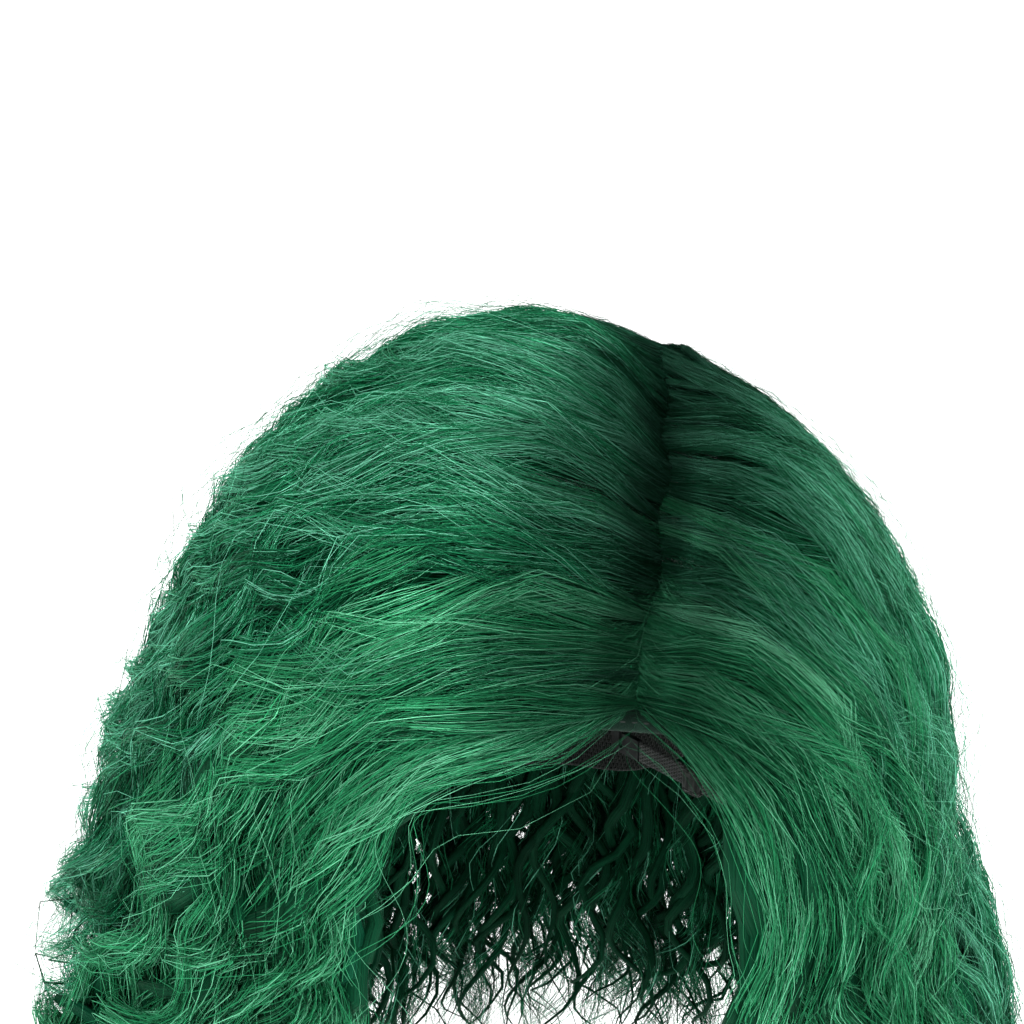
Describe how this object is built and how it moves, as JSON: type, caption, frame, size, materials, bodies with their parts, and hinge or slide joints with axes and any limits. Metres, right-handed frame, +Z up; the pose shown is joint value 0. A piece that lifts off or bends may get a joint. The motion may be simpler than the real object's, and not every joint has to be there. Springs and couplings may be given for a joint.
{
  "type": "costume wig",
  "caption": "Curly shoulder-length green costume wig with a side parting, wefts on an adjustable stretch cap.",
  "frame": {"origin": "inside of the cap at its top, where the wearer's head meets it", "axes": "+Z up along the wearer's head, -Y the way the wearer faces, +X the wearer's left"},
  "size_m": [0.3054, 0.249, 0.353],
  "materials": {
    "hair": "glossy synthetic fibre",
    "net": "open knitted net",
    "elastic": "woven elastic",
    "velvet": "short pile",
    "scalp": "skin-look film on cloth",
    "weft": "stitched fibre track",
    "hook": "moulded",
    "stay": "bare"
  },
  "bodies": {
    "cap": {"back_left": "hair", "back_right": "hair", "back_weft_1": "weft", "back_weft_2": "weft", "back_weft_3": "weft", "back_weft_4": "weft", "back_weft_5": "weft", "back_weft_6": "weft", "back_weft_7": "weft", "crown_back_left": "hair", "crown_back_right": "hair", "crown_net": "net", "crown_weft_1": "weft", "crown_weft_2": "weft", "ear_band_left": "elastic", "ear_band_right": "elastic", "face_frame_left": "hair", "face_frame_right": "hair", "fringe_sweep": "hair", "front_hairline_band": "velvet", "loop_tape_left": "elastic", "loop_tape_right": "elastic", "nape_band": "elastic", "parting_base": "scalp", "ribbon_centre": "elastic", "ribbon_ear_left": "elastic", "ribbon_ear_right": "elastic", "ribbon_left": "elastic", "ribbon_right": "elastic", "side_left": "hair", "side_right": "hair", "strap_keeper_left": "elastic", "strap_keeper_right": "elastic", "temple_left": "hair", "top_left": "hair", "top_right": "hair"},
    "adjuster_left": {"adjuster_hook_left": "hook", "adjuster_strap_left": "elastic"},
    "ear_tab_left": {"ear_tab_left": "velvet", "ear_tab_stay_left": "stay"},
    "side_lengths_left": {"face_length_left": "hair", "side_length_left": "hair"},
    "adjuster_right": {"adjuster_hook_right": "hook", "adjuster_strap_right": "elastic"},
    "ear_tab_right": {"ear_tab_right": "velvet", "ear_tab_stay_right": "stay"},
    "side_lengths_right": {"face_length_right": "hair", "side_length_right": "hair"},
    "back_lengths": {"back_length_left": "hair", "back_length_centre": "hair", "back_length_right": "hair"}
  },
  "joints": [
    {"name": "adjuster_slide_left", "type": "slide", "parent": "cap", "child": "adjuster_left", "axis": [-0.7431, 0.6691, 0], "range_m": [0, 0.018]},
    {"name": "ear_tab_fold_left", "type": "hinge", "parent": "cap", "child": "ear_tab_left", "pos_m": [0.0775, -0.0102, -0.1145], "axis": [-0.082, -0.9966, 0], "range_deg": [0, 18]},
    {"name": "side_swing_left", "type": "hinge", "parent": "cap", "child": "side_lengths_left", "pos_m": [0.095, 0, -0.153], "axis": [0, -1, 0], "range_deg": [0, 25]},
    {"name": "adjuster_slide_right", "type": "slide", "parent": "cap", "child": "adjuster_right", "axis": [0.7431, 0.6691, 0], "range_m": [0, 0.018]},
    {"name": "ear_tab_fold_right", "type": "hinge", "parent": "cap", "child": "ear_tab_right", "pos_m": [-0.0775, -0.0102, -0.1145], "axis": [-0.082, 0.9966, 0], "range_deg": [0, 18]},
    {"name": "side_swing_right", "type": "hinge", "parent": "cap", "child": "side_lengths_right", "pos_m": [-0.095, 0, -0.153], "axis": [0, 1, 0], "range_deg": [0, 25]},
    {"name": "back_swing", "type": "hinge", "parent": "cap", "child": "back_lengths", "pos_m": [0, 0.08, -0.153], "axis": [1, 0, 0], "range_deg": [0, 25]}
  ]
}
